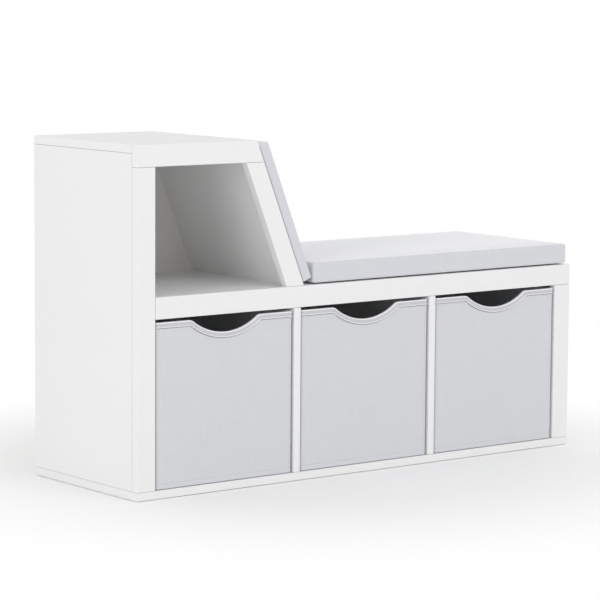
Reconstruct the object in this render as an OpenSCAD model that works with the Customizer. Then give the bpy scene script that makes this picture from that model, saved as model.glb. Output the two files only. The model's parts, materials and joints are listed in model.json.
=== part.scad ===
// Children's storage bench: a row of three bays with fabric bins under a padded seat, and a
// taller end whose front is an open book niche and whose sloping side is a padded backrest.
// Every board, trim, fitting, fabric layer and cushion is a solid of its own.
// The origin is on the floor under the middle of the cabinet: +X right, +Y back, +Z up.

/* [Cabinet] */
// Overall width
body_w = 1028; // [980:1:1100]
// Overall depth, front to back
body_d = 329; // [315:1:360]
// Height of the tall end
body_h = 624; // [580:1:680]
// Height of the seat board's top face
seat_h = 357; // [345:1:380]
// Lean of the backrest from upright, in degrees
lean = 22; // [18:1:25]
// How far the backrest's foot reaches past the first divider
foot_reach = 7; // [7:0.5:12]

/* [Boards and trims] */
// Thickness of the boards
board_t = 15; // [15:0.5:18]
// Face width of the level and upright front trims
trim_w = 39; // [36:1:46]
// Face width of the sloping front trim
slant_trim_w = 36.5; // [32:0.5:42]
// Depth of the front trims, front to back
trim_t = 15; // [14:0.5:18]
// Rounding of the front edges
edge_r = 1; // [0.6:0.1:1.4]
// Easing of the boards' other edges
arris = 0.4; // [0.2:0.1:0.5]
// Width of the fine groove that shows along every joint
seam_w = 0.6; // [0.3:0.1:0.8]
// Depth of that groove
seam_d = 2.5; // [1:0.5:3]

/* [Back panels] */
// Thickness of the back panels
back_t = 3; // [2.5:0.5:4]
// How far a back panel laps onto a board
back_lap = 9; // [7:0.5:11]
// Play between a back panel's edge and its rebate
back_play = 0.3; // [0.2:0.1:0.6]
// Depth of the back panels behind the boards' rear edges
back_inset = 1.2; // [1:0.1:2]
// Largest distance between two nails
nail_pitch = 115; // [90:5:150]

/* [Nails] */
// Diameter of a nail's shank
nail_d = 1.6; // [1.4:0.1:2]
// Length of a nail under its head
nail_len = 16; // [14:1:20]
// Diameter of a nail's head
nail_head_d = 4; // [3.6:0.1:5]
// Thickness of a nail's head
nail_head_t = 0.8; // [0.6:0.1:1]

/* [Screws and cam locks] */
// Distance of the fittings from the front and the rear
fix_inset = 55; // [48:1:70]
// Play round every screw, bolt, cam and dowel
fit_play = 0.1; // [0.05:0.05:0.2]
// Diameter of the base screws' shank
screw_d = 5; // [4:0.5:6]
// Length of the base screws
screw_len = 50; // [45:1:60]
// Diameter of the base screws' head
screw_head_d = 9.6; // [8:0.2:11]
// Height of the base screws' head
screw_head_h = 4; // [3:0.5:5]
// How deep the base screws' heads are sunk
screw_sink = 0.6; // [0.3:0.1:1]
// Diameter of a cam
cam_d = 15; // [14:0.5:16]
// Board left behind a cam's pocket
cam_web = 2.6; // [2:0.1:2.8]
// Distance from a joint's face to the middle of its cam
cam_reach = 24; // [22:0.5:28]
// Wall of a cam round its hollow
cam_wall = 2; // [1.6:0.1:2.2]
// Diameter of a cam bolt's thread
bolt_d = 6; // [5:0.5:7]
// Length of a cam bolt's thread
bolt_thread = 11; // [9:0.5:12]
// Diameter of a cam bolt's head
bolt_head_d = 6.4; // [6:0.1:6.8]
// Diameter of a cam bolt's neck
bolt_neck_d = 3.4; // [3:0.1:3.8]

/* [Backrest screws] */
// Length of the screws that hold the backrest's foot
slope_screw_len = 46; // [40:1:55]
// Diameter of their shank
slope_screw_d = 4; // [3.5:0.5:5]
// Diameter of their head
slope_head_d = 7.6; // [7:0.2:8]
// Height of their head
slope_head_h = 2.6; // [2:0.2:3]
// How deep their heads are sunk, along the screw
slope_screw_sink = 2.4; // [2:0.1:3.2]

/* [Dowels] */
// Diameter of the dowels between boards
dowel_d = 8; // [6:0.5:8]
// Length of the dowels between boards
dowel_len = 30; // [26:1:34]
// Depth of a dowel in the board that it is square to
dowel_bite = 10; // [8:0.5:11]
// Diameter of the dowels behind the front trims
trim_dowel_d = 6; // [5:0.5:7]
// Depth of a trim dowel in its trim
trim_dowel_bite = 9; // [7:0.5:11]
// Depth of a trim dowel in its board
trim_dowel_tail = 13; // [10:0.5:18]
// Distance of a trim's outermost dowels from its ends
trim_dowel_inset = 60; // [50:1:80]

/* [Bins] */
// Gap between a bin and each side of its bay
bin_side_gap = 3.5; // [3:0.5:8]
// Gap between a bin's rim and the seat rail
bin_top_gap = 6; // [3:0.5:12]
// Gap between a bin and the base board
bin_floor_gap = 0.3; // [0.2:0.1:0.5]
// Depth of a bin's front behind the trims' faces
bin_recess = 1.5; // [1.5:0.5:6]
// Gap between a bin and the back panel
bin_back_gap = 23.3; // [5:0.1:40]
// Rounding of a bin's upright corners
bin_corner_r = 5; // [4:0.5:8]
// Thickness of the outer fabric
fabric_t = 1; // [0.8:0.1:1.4]
// Thickness of the stiffening boards
stiff_t = 2.5; // [2:0.1:3]
// Thickness of the lining
lining_t = 0.8; // [0.6:0.1:1.2]
// Thickness of the loose bottom board
insert_t = 4; // [3:0.5:6]
// Play round the loose bottom board
insert_play = 2; // [1:0.5:4]
// Clearance under the loose bottom board
insert_lift = 0.3; // [0.2:0.1:0.5]

/* [Bin rim] */
// Radius of the hand scoop
scoop_r = 119; // [100:1:140]
// Depth of the hand scoop
scoop_depth = 26; // [20:1:32]
// Rounding of the hand scoop's shoulders
shoulder_r = 14; // [14:1:20]
// Width of the binding tape on each side of the rim
binding_w = 9.5; // [8:0.5:13]
// Thickness of the binding tape
binding_t = 1.3; // [1:0.1:1.4]

/* [Cushions] */
// Thickness of the seat cushion
seat_pad_t = 38; // [30:1:50]
// Thickness of the back cushion
back_pad_t = 20; // [16:1:30]
// Distance of the cushions from the cabinet's front and rear
pad_inset = 1.5; // [1:0.5:10]
// Distance of the seat cushion from the seat's free end
seat_pad_end = 7; // [4:0.5:15]
// Gap between the two cushions
pad_gap = 3; // [2:0.5:8]
// Height of the back cushion's lower edge, along the slope
back_pad_foot = 4.5; // [3:0.5:12]
// Distance of the back cushion's upper edge from the top, along the slope
back_pad_head = 11.5; // [10:0.5:25]
// Rounding of the seat cushion's edges
seat_pad_r = 7; // [5:0.5:9]
// Rounding of the back cushion's edges
back_pad_r = 4; // [3:0.5:6]
// Thickness of the cushions' fabric
cover_t = 1; // [0.8:0.1:1.5]
// Clearance between a cover and its foam
foam_play = 0.2; // [0.1:0.1:0.4]

/* [Hook and loop tape] */
// Width of the tape
tape_w = 25; // [20:1:38]
// Thickness of the hook half
hook_t = 1; // [0.8:0.1:1.4]
// Thickness of the loop half
loop_t = 1; // [0.8:0.1:1.4]
// Clearance between the two halves
tape_gap = 0.3; // [0.2:0.1:0.4]
// Distance of the tape from the front and the rear
tape_inset = 45; // [35:1:60]
// Distance of the tape's ends from the cushion's ends
tape_end = 30; // [20:1:50]

/* [Hidden] */
$fn = 64;
eps = 0.05;   // how far a cut runs past the face that it opens
free = -eps;  // in place of a seam's width, where a board meets nothing

// Bays, dividers and uprights, left to right
bay_w = (body_w - 2 * trim_w - 2 * board_t) / 3;
bay_h = seat_h - trim_w - board_t;
divider_x = [trim_w + bay_w, trim_w + 2 * bay_w + board_t];
bay_x = [trim_w, divider_x[0] + board_t, divider_x[1] + board_t];
upright_x = [board_t, 2 * divider_x[0] + board_t, 2 * divider_x[1] + board_t, 2 * body_w - board_t] / 2;

// The backrest's slope
foot_x = divider_x[0] + board_t + foot_reach;
slope_len = (body_h - seat_h) / cos(lean);
function slope_x(z, inward = 0) = foot_x - (z - seat_h) * tan(lean) - inward / cos(lean);

// Places that several pieces share
mid_y = body_d / 2;
fix_y = [fix_inset, body_d - fix_inset];
back_y = body_d - back_inset - back_t;
cam_h = board_t - cam_web;
rebate_edge = board_t - back_lap;

// Bin sizes, in the bin's own frame
bin_w = bay_w - 2 * bin_side_gap;
bin_d = back_y - bin_recess - bin_back_gap;
rim_z = bay_h - bin_floor_gap - bin_top_gap - binding_t;
wall_t = fabric_t + stiff_t + lining_t;

// Centres of the hand scoop and its shoulders, measured from the middle of the rim
cross_over = 0.02;
scoop_bite = shoulder_r + 5;
scoop_up = scoop_r - scoop_depth;
shoulder_z = cross_over - shoulder_r;
shoulder_x = sqrt(pow(scoop_r + shoulder_r - cross_over, 2) - pow(scoop_up - shoulder_z, 2));

// Cushion sizes
tape_stack = hook_t + tape_gap + loop_t;
pad_d = body_d - 2 * pad_inset;
back_pad_len = slope_len - back_pad_foot - back_pad_head;
seat_pad_x = foot_x + (tape_stack + back_pad_t) * cos(lean) - back_pad_foot * sin(lean) + pad_gap;
seat_pad_len = body_w - seat_pad_end - seat_pad_x;

// ---- Frames ----

// Cabinet frame: x from the left side, y from the front, z from the floor
module cabinet_frame() {
    translate([-body_w / 2, -body_d / 2, 0]) children();
}

// Slope frame: x out of the backrest's face, y from the front, z up along the slope
module slope_frame() {
    translate([foot_x, 0, seat_h]) rotate([0, -lean, 0]) children();
}

// Bin frame: from the lower front left corner of the bin in one bay
module bin_frame(bay) {
    cabinet_frame() translate([bay_x[bay] + bin_side_gap, bin_recess, board_t + bin_floor_gap]) children();
}

// ---- Basic shapes ----

// An x-z outline made solid from y0 to y1
module front_plate(y0, y1) {
    translate([0, y1, 0]) rotate([90, 0, 0]) linear_extrude(y1 - y0) children();
}

// An outline with every corner cut off by the arris
function cut_corners(p) = let (n = len(p)) [
    for (i = [0 : n - 1]) let (a = p[(i + n - 1) % n] - p[i], b = p[(i + 1) % n] - p[i])
        each [p[i] + arris * a / norm(a), p[i] + arris * b / norm(b)]
];

module eased_rect(w, h) {
    polygon(cut_corners([[0, 0], [w, 0], [w, h], [0, h]]));
}

// A y-z outline made solid from x = 0 to len
module side_plate(len) {
    rotate([90, 0, 90]) linear_extrude(len) children();
}

// A block whose edges are all eased
module eased_block(size) {
    intersection() {
        linear_extrude(size.z) eased_rect(size.x, size.y);
        front_plate(0, size.y) eased_rect(size.x, size.z);
        side_plate(size.x) eased_rect(size.y, size.z);
    }
}

// A board's cross-section: two front edges rounded, two rear edges eased
module board_section(w, t) {
    polygon([[0, edge_r], [w, edge_r], [w, t - arris], [w - arris, t], [arris, t], [0, t - arris]]);
    translate([edge_r, 0]) square([w - 2 * edge_r, 2 * edge_r]);
    for (x = [edge_r, w - edge_r]) translate([x, edge_r]) circle(edge_r);
}

// A bar with that section, its ends eased
module upright_bar(w, t, h) {
    intersection() {
        linear_extrude(h) board_section(w, t);
        front_plate(0, t) eased_rect(w, h);
        side_plate(w) eased_rect(t, h);
    }
}

module level_bar(len, w, t) {
    translate([0, 0, w]) rotate([0, 90, 0]) upright_bar(w, t, len);
}

// Sets a board's skin back from its neighbours. low and high are the seams at its two ends
// along each axis, and inset is how deep they run in from its other faces.
module open_seams(size, low, high, inset) {
    intersection() {
        children();
        union() {
            translate(low) cube(size - low - high);
            translate(inset) cube(size - 2 * inset);
        }
    }
}

// An upright trim with a seam at both ends
module stile(h) {
    ends = [free, free, seam_w];
    open_seams([trim_w, trim_t, h], ends, ends, [seam_d, seam_d, free]) upright_bar(trim_w, trim_t, h);
}

// A side panel with seams at its ends and at its front edge
module side_panel(h) {
    size = [board_t, body_d - trim_t, h];
    open_seams(size, [free, seam_w, seam_w], [free, free, seam_w], [seam_d, free, free]) eased_block(size);
}

// A level board with a seam at its front edge
module level_board(len) {
    size = [len, body_d - trim_t, board_t];
    open_seams(size, [free, seam_w, free], [free, free, free], [seam_d, free, seam_d]) eased_block(size);
}

module rounded_rect(w, h, r) {
    translate([r, 0]) square([w - 2 * r, h]);
    translate([0, r]) square([w, h - 2 * r]);
    for (x = [r, w - r], y = [r, h - r]) translate([x, y]) circle(r);
}

// A block whose edges are all rounded
module rounded_block(size, r) {
    intersection() {
        linear_extrude(size.z) rounded_rect(size.x, size.y, r);
        front_plate(0, size.y) rounded_rect(size.x, size.z, r);
        side_plate(size.x) rounded_rect(size.y, size.z, r);
    }
}

// A bar along the slope, its outer face on the slope line, long enough to be cut at both ends
module slope_bar(w, t) {
    slope_frame() translate([-w, 0, -slope_len]) upright_bar(w, t, 3 * slope_len);
}

// ---- Where the fittings go ----

// A fitting's frame: origin on the joint's face, z into the board that the fitting is square to
module at_each(places) {
    for (p = places) translate(p[0]) rotate(p[1]) children();
}

base_screw_places = [for (x = upright_x, y = fix_y) [[x, y, 0], [0, 0, 0]]];

// Cam locks open towards the fitting frame's x
cam_places = [
    for (y = fix_y) [[upright_x[1], y, seat_h - board_t], [0, 0, 0]],
    for (y = fix_y) [[upright_x[2], y, seat_h - board_t], [0, 0, 180]],
    for (y = fix_y) [[upright_x[3], y, seat_h - board_t], [0, 0, 180]],
    for (y = fix_y) [[board_t, y, seat_h - board_t / 2], [180, 90, 0]],
    for (y = fix_y) [[upright_x[0], y, body_h - board_t], [0, 0, 0]]
];

board_dowel_places = [
    for (x = upright_x) [[x, mid_y, board_t], [180, 0, 0]],
    for (i = [1 : 3]) [[upright_x[i], mid_y, seat_h - board_t], [0, 0, 0]],
    [[board_t, mid_y, seat_h - board_t / 2], [180, 90, 0]],
    [[upright_x[0], mid_y, body_h - board_t], [0, 0, 0]]
];

// Dowels in the sloping board's two ends, in the slope frame
slope_mid_x = -board_t / 2;
slope_foot_z = -slope_mid_x * tan(lean);
slope_head_z = slope_len - board_t / cos(lean) + slope_foot_z;
slope_dowel_places = [
    [[slope_mid_x, mid_y, slope_foot_z], [180, 0, 0]],
    for (y = [fix_y[0], mid_y, fix_y[1]]) [[slope_mid_x, y, slope_head_z], [0, 0, 0]]
];

// Screws that come up through the seat board into the sloping board, in the slope frame
slope_screw_z = slope_foot_z - board_t / cos(lean) + slope_screw_sink;
slope_screw_places = [for (y = fix_y) [[slope_mid_x, y, slope_screw_z], [0, 0, 0]]];

// Evenly spaced places from a to b, no further apart than pitch
function spread(a, b, pitch) =
    let (n = max(1, ceil((b - a) / pitch))) [for (i = [0 : n]) a + (b - a) * i / n];

// Trim dowels lie along y; x-z places
stile_dowel_pitch = 250;
rail_dowel_pitch = 330;
trim_dowel_points = [
    for (z = spread(board_t + trim_dowel_inset, body_h - trim_w - trim_dowel_inset, stile_dowel_pitch))
        [upright_x[0], z],
    for (z = spread(board_t + trim_dowel_inset, seat_h - trim_w - trim_dowel_inset, stile_dowel_pitch))
        [upright_x[3], z],
    for (x = spread(trim_w + trim_dowel_inset, body_w - trim_dowel_inset, rail_dowel_pitch))
        [x, seat_h - board_t / 2],
    for (x = spread(trim_dowel_inset, slope_x(body_h) - trim_dowel_inset, rail_dowel_pitch))
        [x, body_h - board_t / 2],
    for (z = spread(seat_h + trim_dowel_inset, body_h - trim_w - trim_dowel_inset, stile_dowel_pitch))
        [slope_x(z, board_t / 2), z]
];

// Nails lie along y; x-z places on the middle of each lap
nail_edge = board_t - back_lap / 2;
nail_corner = board_t + trim_w;
lower_panel_top = seat_h - board_t;
nail_points = [
    for (x = [nail_edge, body_w - nail_edge])
        for (z = spread(nail_corner, lower_panel_top - trim_w, nail_pitch)) [x, z],
    for (z = [nail_edge, lower_panel_top + back_lap / 2])
        for (x = spread(nail_corner, body_w - nail_corner, nail_pitch)) [x, z],
    for (x = [upright_x[1], upright_x[2]])
        for (z = spread(nail_corner, lower_panel_top - trim_w, nail_pitch)) [x, z],
    for (z = spread(seat_h + trim_w, body_h - nail_corner, nail_pitch)) [nail_edge, z],
    for (z = spread(seat_h + trim_w, body_h - nail_corner, nail_pitch)) [slope_x(z, nail_edge), z],
    for (x = spread(nail_corner, slope_x(body_h) - nail_corner, nail_pitch)) [x, body_h - nail_edge]
];

// ---- Fittings, each in its fitting frame, and the holes they sit in ----

tip_len = 5;
hex_d = 4.6;
hex_depth = 2.6;

// A screw whose head starts at z = 0, with a six-sided socket
module socket_screw(shank_d, len, head_d, head_h) {
    difference() {
        union() {
            cylinder(d = head_d, h = head_h);
            cylinder(d = shank_d, h = len - tip_len);
            translate([0, 0, len - tip_len]) cylinder(d1 = shank_d, d2 = 1, h = tip_len);
        }
        translate([0, 0, -eps]) cylinder(d = hex_d, h = min(hex_depth, head_h - 1) + eps, $fn = 6);
    }
}

// sink is how far the head's recess runs below the head
module screw_hole(shank_d, len, head_d, head_h, sink) {
    translate([0, 0, -sink]) cylinder(d = head_d + 2 * fit_play, h = head_h + sink);
    cylinder(d = shank_d + 2 * fit_play, h = len + 1);
}

// Cam in its pocket; the bolt comes down the z axis and the cam turns about x
cam_slot = 4.4;
cam_entry_d = 7.2;
cam_hollow_h = 7.6;
cross_len = 9;
cross_w = 1.8;
cross_depth = 2.4;
module cam_lock() {
    face_x = board_t / 2;
    translate([0, 0, -cam_reach]) difference() {
        translate([face_x - cam_h, 0, 0]) rotate([0, 90, 0]) cylinder(d = cam_d, h = cam_h);
        translate([-cam_hollow_h / 2, 0, 0]) rotate([0, 90, 0])
            cylinder(d = cam_d - 2 * cam_wall, h = cam_hollow_h);
        translate([-cam_slot / 2, -cam_d, 0]) cube([cam_slot, cam_d + cam_slot / 2, cam_d]);
        rotate([90, 0, 0]) cylinder(d = cam_entry_d, h = cam_d);
        for (turn = [45, 135])
            translate([face_x, 0, 0]) rotate([turn, 0, 0])
                cube([2 * cross_depth, cross_w, cross_len], center = true);
    }
}

collar_d = 7.4;
collar_h = 1.2;
bolt_bore_d = 8;
neck_start = 1;
head_back = 2;
module cam_bolt() {
    head_z = -cam_reach + head_back;
    neck_z = -cam_reach + cam_d / 2 + neck_start;
    cylinder(d = bolt_d, h = bolt_thread);
    translate([0, 0, -collar_h]) cylinder(d = collar_d, h = collar_h);
    translate([0, 0, neck_z]) cylinder(d = bolt_d - 1, h = -neck_z);
    translate([0, 0, head_z]) cylinder(d = bolt_neck_d, h = neck_z - head_z);
    translate([0, 0, head_z]) sphere(d = bolt_head_d);
}

module cam_holes() {
    translate([board_t / 2 - cam_h, 0, -cam_reach]) rotate([0, 90, 0])
        cylinder(d = cam_d + 2 * fit_play, h = cam_h + eps);
    translate([0, 0, -cam_reach]) cylinder(d = bolt_bore_d, h = cam_reach);
    cylinder(d = bolt_d + 2 * fit_play, h = bolt_thread + 0.5);
}

// A dowel with chamfered ends, or its hole with grow over zero
dowel_chamfer = 0.8;
module dowel(d, bite, tail) {
    translate([0, 0, -tail + dowel_chamfer]) cylinder(d = d, h = bite + tail - 2 * dowel_chamfer);
    translate([0, 0, bite - dowel_chamfer]) cylinder(d1 = d, d2 = d - 2 * dowel_chamfer, h = dowel_chamfer);
    translate([0, 0, -tail]) cylinder(d1 = d - 2 * dowel_chamfer, d2 = d, h = dowel_chamfer);
}

module dowel_hole(d, bite, tail) {
    translate([0, 0, -tail - 0.5]) cylinder(d = d + 2 * fit_play, h = bite + tail + 1);
}

module trim_dowel_frame() {
    for (p = trim_dowel_points) translate([p[0], trim_t, p[1]]) rotate([90, 0, 0]) children();
}

module nail_frame() {
    for (p = nail_points) translate([p[0], back_y + back_t, p[1]]) rotate([90, 0, 0]) children();
}

module nail() {
    translate([0, 0, -nail_head_t]) cylinder(d = nail_head_d, h = nail_head_t);
    cylinder(d = nail_d, h = nail_len - 2 * nail_d);
    translate([0, 0, nail_len - 2 * nail_d]) cylinder(d1 = nail_d, d2 = 0.4, h = 2 * nail_d);
}

// Every hole that a fitting needs, in one cutter
module fitting_holes() {
    translate([0, 0, screw_sink]) at_each(base_screw_places)
        screw_hole(screw_d, screw_len, screw_head_d, screw_head_h, screw_sink + eps);
    slope_frame() at_each(slope_screw_places)
        screw_hole(slope_screw_d, slope_screw_len, slope_head_d, slope_head_h,
                   slope_screw_sink + slope_head_d / 2);
    at_each(cam_places) cam_holes();
    at_each(board_dowel_places) dowel_hole(dowel_d, dowel_bite, dowel_len - dowel_bite);
    slope_frame() at_each(slope_dowel_places) dowel_hole(dowel_d, dowel_bite, dowel_len - dowel_bite);
    trim_dowel_frame() dowel_hole(trim_dowel_d, trim_dowel_bite, trim_dowel_tail);
    nail_frame() cylinder(d = nail_d + 2 * fit_play, h = nail_len + 0.5);
}

// ---- Back panels and the rebates that hold them ----

module lower_back_outline(play = 0) {
    edge = rebate_edge + play;
    translate([edge, edge]) square([body_w - 2 * edge, seat_h - board_t + back_lap - play - edge]);
}

module niche_back_outline(play = 0) {
    edge = rebate_edge + play;
    top = body_h - edge;
    polygon([[edge, seat_h], [slope_x(seat_h, edge), seat_h], [slope_x(top, edge), top], [edge, top]]);
}

module back_rebates() {
    front_plate(back_y, body_d + eps) lower_back_outline();
    front_plate(back_y, body_d + eps) niche_back_outline();
}

module lower_back_panel() {
    color("whitesmoke") cabinet_frame() difference() {
        front_plate(back_y, back_y + back_t) lower_back_outline(back_play);
        fitting_holes();
    }
}

module niche_back_panel() {
    color("whitesmoke") cabinet_frame() difference() {
        front_plate(back_y, back_y + back_t) niche_back_outline(back_play);
        fitting_holes();
    }
}

// ---- Boards ----

// A board in its place, with its rebates and holes cut
module finished_board() {
    color("white") cabinet_frame() difference() {
        children();
        back_rebates();
        fitting_holes();
    }
}

module base_board() {
    finished_board() level_bar(body_w, board_t, body_d);
}

module left_side_panel() {
    finished_board() translate([0, trim_t, board_t]) side_panel(body_h - 2 * board_t);
}

module right_side_panel() {
    finished_board() translate([body_w - board_t, trim_t, board_t]) side_panel(seat_h - 2 * board_t);
}

// A divider's front edge stands in line with the trims and is notched under the seat rail
module divider(x) {
    size = [board_t, back_y, seat_h - 2 * board_t];
    finished_board() translate([x, 0, board_t]) difference() {
        open_seams(size, [free, free, seam_w], [free, free, free], [seam_d, seam_d, free])
            upright_bar(size.x, size.y, size.z);
        translate([-eps, -eps, bay_h]) cube([board_t + 2 * eps, trim_t + eps, trim_w]);
        translate([-eps, -eps, bay_h - seam_w]) cube([board_t + 2 * eps, seam_d + eps, seam_w + eps]);
    }
}

module left_divider() {
    divider(divider_x[0]);
}

module right_divider() {
    divider(divider_x[1]);
}

module seat_board() {
    finished_board() translate([board_t, trim_t, seat_h - board_t]) level_board(body_w - board_t);
}

// The sloping board is cut level at both ends
module backrest_board() {
    finished_board() translate([0, trim_t, 0]) intersection() {
        slope_bar(board_t, body_d - trim_t);
        translate([0, 0, seat_h]) eased_block([body_w, body_d - trim_t, body_h - board_t - seat_h]);
    }
}

// The top board's right end is cut to the slope
module top_board() {
    finished_board() translate([0, trim_t, 0]) intersection() {
        translate([0, 0, body_h - board_t]) level_board(body_w);
        slope_bar(body_w, body_d - trim_t);
    }
}

// ---- Front trims ----

module finished_trim() {
    color("white") cabinet_frame() difference() {
        children();
        trim_dowel_frame() dowel_hole(trim_dowel_d, trim_dowel_bite, trim_dowel_tail);
    }
}

module left_stile() {
    finished_trim() translate([0, 0, board_t]) stile(body_h - trim_w - board_t);
}

module right_stile() {
    finished_trim() translate([body_w - trim_w, 0, board_t]) stile(bay_h);
}

module seat_rail() {
    size = [body_w - trim_w, trim_t, trim_w];
    finished_trim() translate([trim_w, 0, seat_h - trim_w])
        open_seams(size, [seam_w, free, free], [free, free, free], [free, seam_d, seam_d])
            level_bar(size.x, trim_w, trim_t);
}

// The sloping stile is a straight bar cut level at both ends
module sloping_stile() {
    size = [body_w, trim_t, body_h - trim_w - seat_h];
    ends = [free, free, seam_w];
    finished_trim() intersection() {
        slope_bar(slant_trim_w, trim_t);
        translate([0, 0, seat_h]) open_seams(size, ends, ends, [free, seam_d, free]) cube(size);
    }
}

// The top rail's right end is cut to the slope
module top_rail() {
    finished_trim() intersection() {
        translate([0, 0, body_h - trim_w]) level_bar(body_w, trim_w, trim_t);
        slope_bar(body_w, trim_t);
    }
}

// ---- Fittings in their places ----

module base_screws() {
    color("silver") cabinet_frame() translate([0, 0, screw_sink]) at_each(base_screw_places)
        socket_screw(screw_d, screw_len, screw_head_d, screw_head_h);
}

module backrest_screws() {
    color("silver") cabinet_frame() slope_frame() at_each(slope_screw_places)
        socket_screw(slope_screw_d, slope_screw_len, slope_head_d, slope_head_h);
}

module cam_locks() {
    color("gainsboro") cabinet_frame() at_each(cam_places) cam_lock();
}

module cam_bolts() {
    color("silver") cabinet_frame() at_each(cam_places) cam_bolt();
}

module board_dowels() {
    color("burlywood") cabinet_frame() {
        at_each(board_dowel_places) dowel(dowel_d, dowel_bite, dowel_len - dowel_bite);
        slope_frame() at_each(slope_dowel_places) dowel(dowel_d, dowel_bite, dowel_len - dowel_bite);
    }
}

module trim_dowels() {
    color("burlywood") cabinet_frame() trim_dowel_frame()
        dowel(trim_dowel_d, trim_dowel_bite, trim_dowel_tail);
}

module back_panel_nails() {
    color("silver") cabinet_frame() nail_frame() nail();
}

// ---- Fabric bins ----

// A bin's plan, taken in by inset from its outer face, made solid from z0 to z1
least_corner_r = 0.5;
module bin_prism(inset, z0, z1) {
    translate([inset, inset, z0]) linear_extrude(z1 - z0)
        rounded_rect(bin_w - 2 * inset, bin_d - 2 * inset, max(bin_corner_r - inset, least_corner_r));
}

// The front wall's outline with its hand scoop, every edge of the rim moved up by rise.
// A shoulder's circle reaches a hair over the rim and into the scoop, so the arcs cross.
module below_rim(rise) {
    floor_z = -3 * scoop_depth;
    for (side = [-1, 1]) {
        translate([side * shoulder_x, shoulder_z]) circle(shoulder_r + rise);
        translate([side > 0 ? shoulder_x : -bin_w, floor_z])
            square([bin_w - shoulder_x, rise - floor_z]);
    }
    inner = [shoulder_x, shoulder_z]
        + scoop_bite / (scoop_r + shoulder_r) * [-shoulder_x, scoop_up - shoulder_z];
    difference() {
        polygon([[-shoulder_x, floor_z], [-shoulder_x, shoulder_z], [-inner.x, inner.y],
                 [inner.x, inner.y], [shoulder_x, shoulder_z], [shoulder_x, floor_z]]);
        translate([0, scoop_up]) circle(scoop_r - rise);
    }
}

// Everything above that outline
module above_rim(rise) {
    translate([bin_w / 2, rim_z]) difference() {
        translate([-bin_w, -2 * scoop_depth]) square([2 * bin_w, 3 * scoop_depth]);
        below_rim(rise);
    }
}

// The scoop as a cutter through the front wall
module scoop_cut() {
    front_plate(-1, wall_t + 1) above_rim(0);
}

module bin_cover(bay) {
    color("lightgray") bin_frame(bay) difference() {
        bin_prism(0, 0, rim_z);
        bin_prism(fabric_t, fabric_t, rim_z + 1);
        scoop_cut();
    }
}

module bin_lining(bay) {
    color("lightgray") bin_frame(bay) difference() {
        bin_prism(fabric_t + stiff_t, fabric_t, rim_z);
        bin_prism(wall_t, fabric_t + lining_t, rim_z + 1);
        scoop_cut();
    }
}

// Stiffening boards stop short of the fabric's rounded corners
module front_stiffener(bay) {
    color("tan") bin_frame(bay) difference() {
        translate([bin_corner_r, fabric_t, fabric_t])
            cube([bin_w - 2 * bin_corner_r, stiff_t, rim_z - fabric_t]);
        scoop_cut();
    }
}

module rear_stiffener(bay) {
    color("tan") bin_frame(bay) translate([bin_corner_r, bin_d - fabric_t - stiff_t, fabric_t])
        cube([bin_w - 2 * bin_corner_r, stiff_t, rim_z - fabric_t]);
}

module side_stiffener(bay, x) {
    color("tan") bin_frame(bay) translate([x, bin_corner_r, fabric_t])
        cube([stiff_t, bin_d - 2 * bin_corner_r, rim_z - fabric_t]);
}

// A folded tape that caps the rim all round and follows the scoop
module bin_binding(bay) {
    foot = rim_z - scoop_depth - 2 * binding_w;
    front_zone = wall_t + binding_t + 1;
    color("gainsboro") bin_frame(bay) difference() {
        intersection() {
            difference() {
                bin_prism(-binding_t, foot, rim_z + binding_t);
                bin_prism(wall_t + binding_t, foot - 1, rim_z + binding_t + 1);
            }
            union() {
                front_plate(-2 * binding_t, front_zone) difference() {
                    above_rim(-binding_w);
                    above_rim(binding_t);
                }
                translate([-2 * binding_t, front_zone, rim_z - binding_w])
                    cube([bin_w + 4 * binding_t, bin_d, binding_w + binding_t]);
            }
        }
        difference() {
            bin_prism(0, foot - 1, rim_z);
            bin_prism(wall_t, foot - 2, rim_z + 1);
            scoop_cut();
        }
    }
}

insert_r = 3;
module bin_insert(bay) {
    inset = wall_t + insert_play;
    color("lightgray") bin_frame(bay) translate([inset, inset, fabric_t + lining_t + insert_lift])
        linear_extrude(insert_t) rounded_rect(bin_w - 2 * inset, bin_d - 2 * inset, insert_r);
}

// ---- Cushions ----

module pad_cover(size, r) {
    difference() {
        rounded_block(size, r);
        translate([1, 1, 1] * cover_t) rounded_block(size - [2, 2, 2] * cover_t, r - cover_t);
    }
}

module pad_foam(size, r) {
    skin = cover_t + foam_play;
    translate([1, 1, 1] * skin) rounded_block(size - [2, 2, 2] * skin, r - skin);
}

seat_pad_size = [seat_pad_len, pad_d, seat_pad_t];
back_pad_size = [back_pad_t, pad_d, back_pad_len];

module seat_pad_frame() {
    cabinet_frame() translate([seat_pad_x, pad_inset, seat_h + tape_stack]) children();
}

module back_pad_frame() {
    cabinet_frame() slope_frame() translate([tape_stack, pad_inset, back_pad_foot]) children();
}

module seat_cushion_cover() {
    color("lightgray") seat_pad_frame() pad_cover(seat_pad_size, seat_pad_r);
}

module seat_cushion_foam() {
    color("lightyellow") seat_pad_frame() pad_foam(seat_pad_size, seat_pad_r);
}

module back_cushion_cover() {
    color("lightgray") back_pad_frame() pad_cover(back_pad_size, back_pad_r);
}

module back_cushion_foam() {
    color("lightyellow") back_pad_frame() pad_foam(back_pad_size, back_pad_r);
}

// Two runs of tape, near the front and near the rear; rise is the height of the tape's underside
tape_y = [tape_inset, body_d - tape_inset - tape_w];
module seat_tape(rise, t) {
    color("white") cabinet_frame() for (y = tape_y)
        translate([seat_pad_x + tape_end, y, seat_h + rise]) cube([seat_pad_len - 2 * tape_end, tape_w, t]);
}

module backrest_tape(rise, t) {
    color("white") cabinet_frame() slope_frame() for (y = tape_y)
        translate([rise, y, back_pad_foot + tape_end]) cube([t, tape_w, back_pad_len - 2 * tape_end]);
}

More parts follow.
